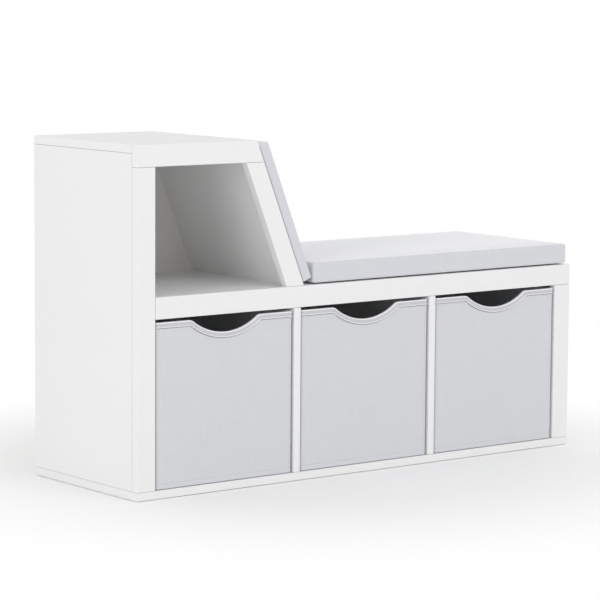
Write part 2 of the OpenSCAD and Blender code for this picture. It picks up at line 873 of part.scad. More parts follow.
module seat_hook_strips() {
    seat_tape(0, hook_t);
}

module seat_loop_strips() {
    seat_tape(hook_t + tape_gap, loop_t);
}

module backrest_hook_strips() {
    backrest_tape(0, hook_t);
}

module back_loop_strips() {
    backrest_tape(hook_t + tape_gap, loop_t);
}

base_board();
left_side_panel();
right_side_panel();
left_divider();
right_divider();
seat_board();
backrest_board();
top_board();
left_stile();
right_stile();
seat_rail();
sloping_stile();
top_rail();
lower_back_panel();
niche_back_panel();
base_screws();
backrest_screws();
cam_locks();
cam_bolts();
board_dowels();
trim_dowels();
back_panel_nails();
seat_hook_strips();
backrest_hook_strips();
bin_cover(0);  // left_bin_cover
bin_lining(0);  // left_bin_lining
front_stiffener(0);  // left_bin_front_stiffener
rear_stiffener(0);  // left_bin_rear_stiffener
side_stiffener(0, fabric_t);  // left_bin_left_stiffener
side_stiffener(0, bin_w - fabric_t - stiff_t);  // left_bin_right_stiffener
bin_binding(0);  // left_bin_binding
bin_insert(0);  // left_bin_insert
bin_cover(1);  // middle_bin_cover
bin_lining(1);  // middle_bin_lining
front_stiffener(1);  // middle_bin_front_stiffener
rear_stiffener(1);  // middle_bin_rear_stiffener
side_stiffener(1, fabric_t);  // middle_bin_left_stiffener
side_stiffener(1, bin_w - fabric_t - stiff_t);  // middle_bin_right_stiffener
bin_binding(1);  // middle_bin_binding
bin_insert(1);  // middle_bin_insert
bin_cover(2);  // right_bin_cover
bin_lining(2);  // right_bin_lining
front_stiffener(2);  // right_bin_front_stiffener
rear_stiffener(2);  // right_bin_rear_stiffener
side_stiffener(2, fabric_t);  // right_bin_left_stiffener
side_stiffener(2, bin_w - fabric_t - stiff_t);  // right_bin_right_stiffener
bin_binding(2);  // right_bin_binding
bin_insert(2);  // right_bin_insert
seat_cushion_cover();
seat_cushion_foam();
seat_loop_strips();
back_cushion_cover();
back_cushion_foam();
back_loop_strips();
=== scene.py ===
# %% [markdown]
# # A children's storage bench
# A white cabinet holds three fabric bins under a padded seat, and its taller end has an open
# book niche whose sloping side is a padded backrest. The solids of every board, fitting and
# layer arrive finished and in place, so this lesson adds what solids alone can't show: the
# finish of each material, and cloth that bends, swells and is sewn.

import json
import math

import bmesh
import bpy
import numpy as np
from mathutils import Matrix, Vector, noise


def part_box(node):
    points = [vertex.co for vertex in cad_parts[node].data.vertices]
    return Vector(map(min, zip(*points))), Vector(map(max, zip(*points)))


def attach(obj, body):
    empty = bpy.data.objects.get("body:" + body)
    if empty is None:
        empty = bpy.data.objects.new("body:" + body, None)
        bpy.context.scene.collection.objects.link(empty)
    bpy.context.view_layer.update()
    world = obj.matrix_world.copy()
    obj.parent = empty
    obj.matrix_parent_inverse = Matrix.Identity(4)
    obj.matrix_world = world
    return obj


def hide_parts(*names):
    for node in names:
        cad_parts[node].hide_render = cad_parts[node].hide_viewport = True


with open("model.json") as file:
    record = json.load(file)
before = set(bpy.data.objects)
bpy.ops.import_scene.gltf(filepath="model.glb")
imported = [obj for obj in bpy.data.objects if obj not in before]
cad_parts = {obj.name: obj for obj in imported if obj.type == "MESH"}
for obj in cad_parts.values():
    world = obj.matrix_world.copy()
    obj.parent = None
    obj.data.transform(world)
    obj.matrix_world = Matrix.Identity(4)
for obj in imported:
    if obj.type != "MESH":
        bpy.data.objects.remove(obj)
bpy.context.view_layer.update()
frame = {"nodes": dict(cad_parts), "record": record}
cad_nodes = frame["nodes"]
MM = 0.001

# %% [markdown]
# ## Writing a finish as sums
# A finish is a tree of shader nodes. Placing them one by one hides what they work out, so two
# small classes carry the wiring. A Signal stands for one output socket, and adding or
# multiplying Signals adds Math nodes. A Finish owns the material, and its one method `node`
# makes any other node. Patterns read Object coordinates, so they stay put on the piece.

# %% Signal and Finish
class Signal:
    """One output socket. Python's operators on it add Math nodes."""

    def __init__(self, wiring, socket):
        self.wiring, self.socket = wiring, socket

    def math(self, operation, first, *rest):
        values = dict(enumerate((first, *rest)))
        return self.wiring.node("ShaderNodeMath", {"operation": operation}, values)

    def __add__(self, other):
        return self.math("ADD", self, other)

    def __rsub__(self, other):
        return self.math("SUBTRACT", other, self)

    def __mul__(self, other):
        return self.math("MULTIPLY", self, other)

    def __gt__(self, other):
        return self.math("GREATER_THAN", self, other)

    def __abs__(self):
        return self.math("ABSOLUTE", self)

    __radd__, __rmul__ = __add__, __mul__

    def sine(self):
        return self.math("SINE", self)

    def peak(self, other):
        return self.math("MAXIMUM", self, other)

    def step(self, low, high):
        """0 below low and 1 above high, smooth between."""
        values = {"Value": self, "From Min": low, "From Max": high}
        settings = {"interpolation_type": "SMOOTHSTEP"}
        return self.wiring.node("ShaderNodeMapRange", settings, values)

    def root(self):
        return self.math("SQRT", self)


class Wiring:
    """A shader tree, where one method makes every node."""

    def __init__(self, tree):
        self.tree = tree

    def feed(self, socket, value):
        if isinstance(value, Signal):
            self.tree.links.new(value.socket, socket)
        else:
            socket.default_value = value

    def node(self, kind, settings=None, values=None, output=0):
        made = self.tree.nodes.new(kind)
        for name, value in (settings or {}).items():
            setattr(made, name, value)
        for name, value in (values or {}).items():
            self.feed(made.inputs[name], value)
        return Signal(self, made.outputs[output])


class Finish(Wiring):
    """A material with one Principled shader, whose fixed sockets are given by name."""

    def __init__(self, name, **fixed):
        self.material = bpy.data.materials.new(name)
        self.material.use_nodes = True
        super().__init__(self.material.node_tree)
        self.shader = self.tree.nodes["Principled BSDF"]
        for socket, value in fixed.items():
            self.feed(self.shader.inputs[socket.replace("_", " ")], value)

    def place(self, source="Object", scale=(1, 1, 1)):
        """Object or UV coordinates, scaled."""
        vector = self.node("ShaderNodeTexCoord", output=source)
        return self.node("ShaderNodeMapping", {}, {"Vector": vector, "Scale": scale})

    def axes(self, vector):
        return [self.node("ShaderNodeSeparateXYZ", {}, {0: vector}, output=i) for i in range(3)]

    def noise(self, vector, size, detail=2):
        """Soft noise from 0 to 1, whose blotches are about size metres across."""
        values = {"Vector": vector, "Scale": 1 / size, "Detail": detail}
        return self.node("ShaderNodeTexNoise", {}, values)

    def blend(self, amount, one, other):
        values = {0: amount, 6: one, 7: other}
        return self.node("ShaderNodeMix", {"data_type": "RGBA"}, values, output=2)

    def relief(self, height, depth, strength=1.0):
        """Raises the surface by height, from 0 to 1, times depth in metres."""
        values = {"Height": height, "Distance": depth, "Strength": strength}
        self.show("Normal", self.node("ShaderNodeBump", {}, values))

    def show(self, socket, value):
        self.feed(self.shader.inputs[socket], value)


def tone(red, green, blue):
    """A colour as a screen shows it, 0 to 255, turned into the linear light that shaders use."""
    light = [c / 255 for c in (red, green, blue)]
    return [c / 12.92 if c < 0.04045 else ((c + 0.055) / 1.055) ** 2.4 for c in light] + [1]


print("shader words ready; white board light", round(tone(237, 237, 237)[0], 3))

# %% [markdown]
# ## White board
# The boards are chipboard wrapped in a white satin foil. Foil is almost even, and that is the
# trap: one flat colour looks like plastic. A faint grain along the board, a slow drift of tone,
# a fine orange-peel relief and a roughness that wanders a little make it read as wrapped board.

# %% Foil finish
def foil(name, along, dark, light):
    """White foil whose faint grain runs along one axis, 0 to 2."""
    made = Finish(name, Specular_IOR_Level=0.25)
    stretch = [1, 1, 1]
    stretch[along] = 0.04
    grain = made.noise(made.place(scale=stretch), 2.6 * MM, detail=3)
    drift = made.noise(made.place(), 190 * MM)
    fine = made.noise(made.place(), 1.1 * MM)
    made.show("Base Color", made.blend(grain * 0.45 + drift * 0.55, dark, light))
    made.show("Roughness", 0.44 + 0.16 * drift)
    made.relief(grain * 0.6 + fine * 0.4, 0.05 * MM, 0.35)
    return made.material


FOIL_DARK, FOIL_LIGHT = tone(234, 234, 234), tone(240, 240, 240)
foil_upright = foil("white_foil_grain_upright", 2, FOIL_DARK, FOIL_LIGHT)
foil_level = foil("white_foil_grain_level", 0, FOIL_DARK, FOIL_LIGHT)
lacquer = foil("white_lacquered_hardboard", 0, tone(226, 224, 221), tone(234, 232, 229))
print("board finishes:", foil_upright.name, foil_level.name, lacquer.name)

# %% [markdown]
# ## Metal fittings
# Nobody sees the cam locks, bolts, screws and nails from the front, yet each is there when a
# bin comes out or the bench is turned round. Zinc plating is bright with faint turning marks,
# and die-cast zinc is duller and grainier. Both are the same recipe with other numbers.

# %% Zinc finishes
def zinc(name, colour, rough, grit):
    made = Finish(name, Metallic=1.0)
    cloud = made.noise(made.place(), 1.4 * MM, detail=4)
    marks = made.noise(made.place(scale=(1, 1, 12)), 2.2 * MM)
    dull = [0.82 * c for c in colour[:3]] + [1]
    made.show("Base Color", made.blend(cloud, dull, colour))
    made.show("Roughness", rough + 0.2 * marks)
    made.relief(cloud * 0.7 + marks * 0.3, grit)
    return made.material


plated_zinc = zinc("zinc_plated_steel", tone(200, 201, 204), 0.22, 0.01 * MM)
cast_zinc = zinc("die_cast_zinc", tone(172, 173, 175), 0.42, 0.04 * MM)
print("metal finishes:", plated_zinc.name, cast_zinc.name)

# %% [markdown]
# ## Beech, fibreboard and foam
# Dowels are raw beech: pale, with short darker flecks along the grain. The boards inside the
# bins' walls are grey-brown pressed paper with stray fibres. Foam is a sponge of tiny open
# cells, which a Voronoi pattern draws well.

# %% Finishes for what is inside
def flecked(name, base, fleck, size, stretch, rough):
    made = Finish(name, Roughness=rough, Specular_IOR_Level=0.2)
    streak = made.noise(made.place(scale=stretch), size, detail=3)
    cloud = made.noise(made.place(), 14 * size)
    made.show("Base Color", made.blend(streak.step(0.42, 0.68) * 0.8 + cloud * 0.2, base, fleck))
    made.relief(streak, 0.08 * MM)
    return made.material


beech = flecked("raw_beech", tone(222, 190, 146), tone(176, 132, 86), 0.7 * MM, (1, 0.2, 0.2), 0.62)
fibreboard = flecked("pressed_paper_board", tone(170, 152, 128), tone(134, 117, 96), 1.2 * MM,
                     (1, 0.5, 0.3), 0.9)

foam_finish = Finish("cut_foam", Roughness=0.95, Specular_IOR_Level=0.1)
cells = foam_finish.node("ShaderNodeTexVoronoi", {},
                         {"Vector": foam_finish.place(), "Scale": 1 / (1.3 * MM)})
foam_finish.show("Base Color", foam_finish.blend(cells, tone(214, 206, 176), tone(246, 240, 218)))
foam_finish.relief(cells, 0.5 * MM)
print("inner finishes:", beech.name, fibreboard.name, foam_finish.material.name)

# %% [markdown]
# ## Woven cloth
# In a plain weave every thread goes over one neighbour and under the next. On a cloth with its
# own map in metres, `u` across and `v` up, that is a chessboard: on the light squares the
# upright thread shows as a round ridge, on the dark ones the level thread does. Real thread is
# uneven, so long thin noise along each direction adds the slubs that catch the eye from afar.

# %% Plain weave
def weave(u, v, pitch):
    """Height of a plain weave, 0 to 1."""
    across, up = (u * (math.pi / pitch)).sine(), (v * (math.pi / pitch)).sine()
    over = (across * up) > 0
    return over * abs(across) + (1 - over) * abs(up)


def slubs(made, size, length=0.025):
    """Uneven thread along both directions of the map, 0 to 1."""
    level = made.noise(made.place("UV", scale=(length, 1, 1)), size, detail=3)
    upright = made.noise(made.place("UV", scale=(1, length, 1)), size, detail=3)
    return (level + upright) * 0.5


def cloth(name, dark, light, pitch, slub, depth, rough=0.82, **fixed):
    made = Finish(name, **{"Specular_IOR_Level": 0.15, **fixed})
    u, v, _ = made.axes(made.place("UV"))
    threads = weave(u, v, pitch)
    uneven = slubs(made, slub)
    cloud = made.noise(made.place(), 120 * MM)
    amount = uneven.step(0.3, 0.7) * 0.6 + threads * 0.2 + cloud * 0.2
    made.show("Base Color", made.blend(amount, dark, light))
    made.show("Roughness", rough + 0.12 * uneven)
    made.relief(threads * 0.6 + uneven * 0.4, depth)
    return made


bin_cloth = cloth("pale_grey_bin_cloth", tone(210, 211, 215), tone(218, 219, 223), 0.9 * MM,
                  1.6 * MM, 0.12 * MM).material
lining_cloth = cloth("grey_lining_cloth", tone(238, 239, 243), tone(246, 247, 250), 0.7 * MM,
                     1.3 * MM, 0.1 * MM).material
cushion_cloth = cloth("pale_grey_cushion_cloth", tone(204, 205, 210), tone(213, 214, 219),
                      0.7 * MM, 1.5 * MM, 0.02 * MM, rough=0.5, Specular_IOR_Level=0.5,
                      Sheen_Weight=1.0, Sheen_Roughness=0.5).material
print("cloths:", bin_cloth.name, lining_cloth.name, cushion_cloth.name)

# %% [markdown]
# ## Tapes
# The rims are bound with a ribbed tape with fine cross ribs; its colour holds a painted highlight
# along the fold and along each hemmed edge. Its map runs `u` along the tape and `v` across it, so
# ribs are one sine of `u`. Hook and loop tape is a field of dots: stiff hooks in rows, or a tangle
# of loops.
# A light thread sews the cloth, and a dark grey thread in the crease under the tape paints the
# shade there.

# %% Tape finishes
tape = Finish("ribbed_binding_tape", Specular_IOR_Level=0.2)
run, width, _ = tape.axes(tape.place("UV"))
ribs = (run * (2 * math.pi / (1.1 * MM))).sine() * 0.5 + 0.5
uneven = slubs(tape, 1.4 * MM)
from_fold = abs(width)
# Painted highlights: the colour is lightened where light from above catches the fold and the hem's
# edge
fold_highlight_paint = 1 - from_fold.step(4.0 * MM, 5.2 * MM)
hem_highlight_paint = from_fold.step(10.6 * MM, 11.6 * MM) * 0.7
tape.show("Base Color", tape.blend(
    (fold_highlight_paint + hem_highlight_paint) * 0.85 + uneven * 0.15, tone(198, 199, 203), tone(250, 250, 252)))
tape.show("Roughness", 0.7 + 0.15 * uneven)
tape.relief(ribs * 0.7 + uneven * 0.3, 0.15 * MM)
binding_tape = tape.material


def dotted(name, dark, light, size, depth):
    made = Finish(name, Roughness=0.85, Specular_IOR_Level=0.2)
    dots = made.node("ShaderNodeTexVoronoi", {}, {"Vector": made.place(), "Scale": 1 / size})
    made.show("Base Color", made.blend(dots, light, dark))
    made.relief(1 - dots, depth)
    return made.material


hook_tape = dotted("hook_tape", tone(196, 196, 196), tone(238, 238, 238), 1.4 * MM, 0.9 * MM)
loop_tape = dotted("loop_tape", tone(206, 207, 210), tone(236, 236, 240), 0.6 * MM, 0.3 * MM)
thread_finish = flecked("sewing_thread", tone(226, 227, 231), tone(208, 209, 214), 0.2 * MM,
                        (1, 1, 1), 0.6)
# Painted shade: a dark grey thread that stands in for the shadow line under the tape's lower edge
shade_thread_finish = flecked("painted_shade_grey_thread", tone(138, 139, 144), tone(118, 119, 124), 0.2 * MM,
                        (1, 1, 1), 0.8)
print("tapes:", binding_tape.name, hook_tape.name, loop_tape.name)
print("threads:", thread_finish.name, shade_thread_finish.name)

# %% [markdown]
# ## Dress the solids
# The rigid solids keep their exact shape and only change material. Boards that stand up get
# upright grain, the others level grain. The cloth layers are dressed here too, and the ones
# that show are replaced by softer pieces further on.

# %% Give every solid its finish
UPRIGHT = ("side_panel", "divider", "stile", "backrest_board")
BY_SLOT = {
    "white_board": foil_level, "back_panel": lacquer, "steel": plated_zinc,
    "cam_metal": cast_zinc, "beech": beech, "hook_tape": hook_tape, "loop_tape": loop_tape,
    "bin_fabric": bin_cloth, "lining_fabric": lining_cloth, "fibreboard": fibreboard,
    "binding_tape": binding_tape, "insert_board": lining_cloth,
    "cushion_fabric": cushion_cloth, "foam": foam_finish.material,
}
slot_of = {part["node"]: part["material_slot"] for part in frame["record"]["subparts"]}
for name, solid in cad_nodes.items():
    finish = foil_upright if any(word in name for word in UPRIGHT) else BY_SLOT[slot_of[name]]
    solid.data.materials.clear()
    solid.data.materials.append(finish)
print("dressed", len(cad_nodes), "solids in", len(BY_SLOT), "finishes")

# %% [markdown]
# ## Meshes from rows of points
# Every cloth piece below is a set of rows, each row with the same number of points, and the
# faces are the squares between them. Each row closes on itself, so the rows make a tube. One
# helper does it for all and writes the map, in metres, from two numbers given with each point.

# %% Rows to mesh
def row_mesh(name, points, maps, finish, cap=False):
    """points is rows x columns x 3, maps rows x (columns + 1) x 2; cap closes the first row."""
    rows, columns = points.shape[:2]
    mesh = bpy.data.meshes.new(name)
    faces, corners = [], []
    for r in range(rows - 1):
        here, above = r * columns, (r + 1) * columns
        for c in range(columns):
            d = (c + 1) % columns
            faces.append((here + c, here + d, above + d, above + c))
            corners += [maps[r, c], maps[r, c + 1], maps[r + 1, c + 1], maps[r + 1, c]]
    if cap:
        faces.append(tuple(reversed(range(columns))))
        corners += [maps[0, c] for c in reversed(range(columns))]
    mesh.from_pydata(points.reshape(-1, 3).tolist(), [], faces)
    layer = mesh.uv_layers.new(name="cloth_map")
    layer.data.foreach_set("uv", np.array(corners, np.float32).ravel())
    mesh.shade_smooth()
    mesh.materials.append(finish)
    made = bpy.data.objects.new(name, mesh)
    bpy.context.scene.collection.objects.link(made)
    return made


def bake_modifiers(piece):
    """Turns what the modifiers show into the piece's own mesh."""
    shown = piece.evaluated_get(bpy.context.evaluated_depsgraph_get())
    baked = bpy.data.meshes.new_from_object(shown)
    piece.modifiers.clear()
    piece.data = baked
    return piece


print("row mesh helper ready")

# %% [markdown]
# ## The bin's outline
# A folding bin is a square tub of cloth over stiff board, with rounded upright corners and a
# scoop cut in the front rim for a child's hand. Two curves hold the whole shape: the plan, a
# rounded square walked once round, and the rim's height above the floor at each place on it.
# The scoop is one large arc that meets the level rim in two small ones.

# %% Plan and rim of a bin
bin_low, bin_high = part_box("left_bin_cover")
BIN_W, BIN_D = bin_high.x - bin_low.x, bin_high.y - bin_low.y
RIM_Z = bin_high.z - bin_low.z
CORNER_R = 5 * MM
SCOOP_R, SCOOP_DEPTH, SHOULDER_R = 119 * MM, 26 * MM, 14 * MM
CLOTH_T, LINING_T, WALL_T, LINING_FLOOR = 1.0 * MM, 0.7 * MM, 4.3 * MM, 1.8 * MM
HEM = 10 * MM          # height of the seam round the foot of a bin
SIDE_SEAM = 6 * MM     # distance of the front's upright seams from its edges

scoop_up = SCOOP_R - SCOOP_DEPTH
shoulder_x = math.sqrt((SCOOP_R + SHOULDER_R) ** 2 - (scoop_up + SHOULDER_R) ** 2)
meet_x = shoulder_x * SCOOP_R / (SCOOP_R + SHOULDER_R)


def rim_rise(x):
    """Height of the front rim against the level rim, and its slope, x from the middle."""
    side, x = math.copysign(1, x), abs(x)
    if x < meet_x:
        reach = math.sqrt(SCOOP_R**2 - x**2)
        return scoop_up - reach, side * x / reach
    if x < shoulder_x:
        reach = math.sqrt(SHOULDER_R**2 - (shoulder_x - x) ** 2)
        return reach - SHOULDER_R, side * (shoulder_x - x) / reach
    return 0.0, 0.0


def spaced(start, end, step):
    return np.linspace(start, end, max(2, round((end - start) / step) + 1))


def bin_plan():
    """Once round the bin: place, direction along, direction out, distance, rim rise, slope."""
    front = np.unique(np.concatenate([
        spaced(CORNER_R, SIDE_SEAM + 1 * MM, 0.4 * MM),
        spaced(SIDE_SEAM + 1 * MM, BIN_W - SIDE_SEAM - 1 * MM, 2.4 * MM),
        spaced(BIN_W - SIDE_SEAM - 1 * MM, BIN_W - CORNER_R, 0.4 * MM)]).round(6))
    side = spaced(CORNER_R, BIN_D - CORNER_R, 7 * MM)
    back = spaced(CORNER_R, BIN_W - CORNER_R, 9 * MM)
    stops = []
    walls = [((0, 0), 0, front), ((BIN_W, 0), 90, side),
             ((BIN_W, BIN_D), 180, back), ((0, BIN_D), 270, side)]
    walked = 0.0
    for (x, y), heading, places in walls:
        turn = math.radians(heading)
        along = np.array([math.cos(turn), math.sin(turn)])
        out = np.array([along[1], -along[0]])
        for d in places:
            rise = rim_rise(d - BIN_W / 2) if heading == 0 else (0.0, 0.0)
            stops.append(((x, y) + along * d, along, out, walked + d, *rise))
        centre = (x, y) + along * places[-1] - out * CORNER_R
        for step in range(1, 6):
            swept = math.radians(15 * step)
            bend = turn + swept
            a = np.array([math.cos(bend), math.sin(bend)])
            o = np.array([a[1], -a[0]])
            arc = CORNER_R * swept
            stops.append((centre + o * CORNER_R, a, o, walked + places[-1] + arc, 0.0, 0.0))
        walked += places[-1] - places[0] + CORNER_R * math.pi / 2
    return stops, walked + CORNER_R


STOPS, AROUND = bin_plan()
print("bin", [round(side / MM) for side in (BIN_W, BIN_D, RIM_Z)], "mm,", len(STOPS), "stops")

# %% [markdown]
# ## The bin's cover
# The cover is cloth pulled over board: nearly flat, but never quite. Each wall bows a hair,
# soft dents drift over it, the cloth puckers just under the bound rim, and the seams pull in
# narrow grooves near the foot and beside the front's upright edges. The edge of the rim's tape
# presses a crease into the cloth, which swells a little below it. The stiffening board lies
# 1 mm inside, so nothing may go as deep as that. The tub is built as rings that start in the
# middle of the floor, run out, turn up round the foot and climb to the rim.

# %% Cover and lining
FOOT_R, LIFT = 2.2 * MM, 0.5 * MM    # the foot's rounding, and the air under the cloth
# How far the cloth stands out at each depth below the rim, where the tape's edge presses it in
CREASE = {8.2: 0.0, 8.6: -0.75, 9.3: -0.75, 9.7: 0.45, 10.4: 0.65, 12.5: 0.45, 22.0: 0.0}
DEEPEST = -0.9 * MM    # the stiffening board lies 1 mm in
BOW, DENTS, PUCKER = 0.5 * MM, 0.55 * MM, 0.16 * MM    # most that each moves the cloth
SEAM_DEPTH = SEAM_WIDTH = 0.7 * MM


def groove(distance):
    return math.exp(-((distance / SEAM_WIDTH) ** 2))


def cover_push(stop, z, top):
    """How far the cloth stands out of its flat wall at one place."""
    (x, y), _, out, walked, _, slope = stop
    if z < HEM * 0.5:
        return 0.0
    share = (z - HEM) / (top - HEM)
    inside = max(0.0, math.sin(math.pi * min(max(share, 0), 1)))
    wall = x if abs(out[1]) > 0.9 else y if abs(out[0]) > 0.9 else 0
    span = math.sin(math.pi * min(max(wall / BIN_W, 0), 1))
    bow = BOW * inside * span
    dents = DENTS * noise.noise(Vector((walked / 0.085, z / 0.11, 3.1))) * inside * span
    under_rim = math.exp(-max(top - 0.013 - z, 0) / 0.016)
    pucker = PUCKER * noise.noise(Vector((walked / 0.011, z / 0.06, 7.7))) * under_rim
    seams = groove(z - HEM)
    if out[1] < -0.9:
        seams = max(seams, groove(x - SIDE_SEAM), groove(BIN_W - SIDE_SEAM - x))
    depth = (top - z) / math.hypot(1, slope) / MM
    crease = np.interp(depth, list(CREASE), list(CREASE.values())) * MM
    return max(bow + dents + pucker + crease - SEAM_DEPTH * seams, DEEPEST)


def tub(name, corner, inset, floor, finish, inward=False):
    """A tub of cloth, its walls inset from the bin's outline; inward turns its faces inside."""
    low_rows = [0.02, 0.3, 0.6, 0.85, 0.97]
    foot = [(1 - math.cos(a), 1 - math.sin(a)) for a in np.linspace(math.pi / 2, 0, 5)]
    near_hem = [3.5, 5, 7, 8.4, 9, 9.5, 10, 10.5, 11, 11.6, 13]
    rows, maps = [], []
    middle = np.array([BIN_W / 2, BIN_D / 2])
    near_rim = sorted([*CREASE, 18, 15, 11.4, 9.0, 4, 0], reverse=True)
    wall_low, under_rim = near_hem[-1] * MM, 1.3 * near_rim[0] * MM
    levels = [("floor", k) for k in low_rows] + [("foot", f) for f in foot]
    levels += [("low", z * MM) for z in near_hem]
    levels += [("high", t) for t in np.linspace(0, 1, 40)[1:-1]]
    levels += [("rim", z * MM) for z in near_rim]
    for kind, value in levels:
        row, marks = [], []
        for stop in STOPS:
            edge = stop[0] - stop[2] * inset
            top = RIM_Z + stop[4]
            if kind == "floor":
                place = middle + (edge - stop[2] * FOOT_R - middle) * value
                z, height = floor, -0.15 * (1 - value)
            elif kind == "foot":
                place = edge - stop[2] * FOOT_R * value[0]
                z = height = floor + FOOT_R * value[1]
            else:
                if kind == "low":
                    z = value
                elif kind == "high":
                    z = wall_low + (top - under_rim - wall_low) * value
                else:
                    z = top - value * math.hypot(1, stop[5])
                z = max(z, floor + FOOT_R + 0.1 * MM)
                place = edge + stop[2] * (cover_push(stop, z, top) * (0.5 if inward else 1.0))
                height = z
            row.append((corner.x + place[0], corner.y + place[1], corner.z + z))
            marks.append((stop[3], height))
        marks.append((AROUND, marks[0][1]))
        rows.append(row[::-1] if inward else row)
        maps.append(marks[::-1] if inward else marks)
    return row_mesh(name, np.array(rows), np.array(maps), finish, cap=True)


def thicken(piece, thickness):
    """Gives an open cloth its thickness on the side that doesn't show."""
    solidify = piece.modifiers.new("thickness", "SOLIDIFY")
    solidify.thickness, solidify.offset = thickness, -1
    return bake_modifiers(piece)


BINS = ("left_bin", "middle_bin", "right_bin")
for body in BINS:
    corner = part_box(body + "_cover")[0]
    cover = thicken(tub(body + "_cloth", corner, 0.0, LIFT, bin_cloth), CLOTH_T)
    lining = tub(body + "_inner_cloth", corner, WALL_T, LINING_FLOOR, lining_cloth, inward=True)
    lining = thicken(lining, LINING_T)
    layers = ((cover, "_cover", "bin_fabric"), (lining, "_lining", "lining_fabric"))
    for piece, node, slot in layers:
        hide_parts(body + node)
        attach(piece, body)
    print(body, "cover and lining,", len(cover.data.polygons) + len(lining.data.polygons), "faces")

# %% [markdown]
# ## The bound rim
# A binding tape is folded over the raw rim and sewn through both sides. Its section is a
# hairpin: a round fold on top, a flat ribbed field, and a thicker hemmed edge below. Sweeping
# that section round the rim would twist it in the scoop if it only moved, so at each stop it
# is turned to lie across the rim: `down` in the section always points squarely into the wall.

# %% Sweep the tape
HAIRPIN = [  # out of the wall and down from the rim, in millimetres, outer half
    (0.0, 8.2), (1.3, 8.6), (2.1, 8.4), (2.3, 7.8), (2.0, 7.2), (1.3, 6.7), (0.8, 6.2),
    (0.7, 5.5), (0.8, 4.7), (0.85, 3.9), (0.8, 3.1), (0.75, 2.3), (0.75, 1.5), (1.0, 1.1),
    (1.3, 0.5), (1.3, 0.0), (1.05, -0.6), (0.4, -1.0), (-0.8, -1.3)]


def rim_point(stop, out, down):
    """A place beside the rim, from its distance out of the wall and its depth below the rim."""
    place, along, outward, _, rise, slope = stop
    lean = math.hypot(1, slope)
    flat = place + outward * out + along * (slope / lean * down)
    return (flat[0], flat[1], RIM_Z + rise - down / lean)


def binding(name, corner):
    wall = WALL_T / MM
    section = HAIRPIN + [(-wall / 2, -1.35)] + [(-wall - o, d) for o, d in reversed(HAIRPIN)]
    section += [(-wall, 0.3), (-wall / 2, 0.1), (0.0, 0.3)]
    section = np.array(section) * MM
    steps = np.hypot(*np.diff(np.vstack([section, section[:1]]), axis=0).T)
    across = np.concatenate([[0], np.cumsum(steps)])
    fold = across[len(HAIRPIN)]
    rings, maps = [], []
    for stop in STOPS + STOPS[:1]:
        ring = [np.add(corner, rim_point(stop, out, down)) for out, down in section]
        run = stop[3] if len(rings) < len(STOPS) else AROUND
        rings.append(ring)
        maps.append([(run, a - fold) for a in across])
    return row_mesh(name, np.array(rings), np.array(maps), binding_tape)


def weld(piece, reach=0.01 * MM):
    """Joins points that lie on each other, and turns the faces out."""
    shape = bmesh.new()
    shape.from_mesh(piece.data)
    bmesh.ops.remove_doubles(shape, verts=shape.verts, dist=reach)
    bmesh.ops.recalc_face_normals(shape, faces=shape.faces)
    shape.to_mesh(piece.data)
    shape.free()
    return piece


for body in BINS:
    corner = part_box(body + "_cover")[0]
    rim = weld(binding(body + "_rim_tape", corner))
    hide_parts(body + "_binding")
    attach(rim, body)
print("rims bound,", len(rim.data.polygons), "faces each")

# %% [markdown]
# ## Stitches
# A line of stitches is one small shape repeated along a path, which is what Geometry Nodes do
# best. The tree below turns a mesh path into a curve, cuts it into steps of one pitch, puts a
# rounded stitch on each step and points it along the path. Pitch, length and thread are inputs,
# so the same tree sews the light seams and the thicker dark grey thread that paints the shade in
# the crease under the tape.

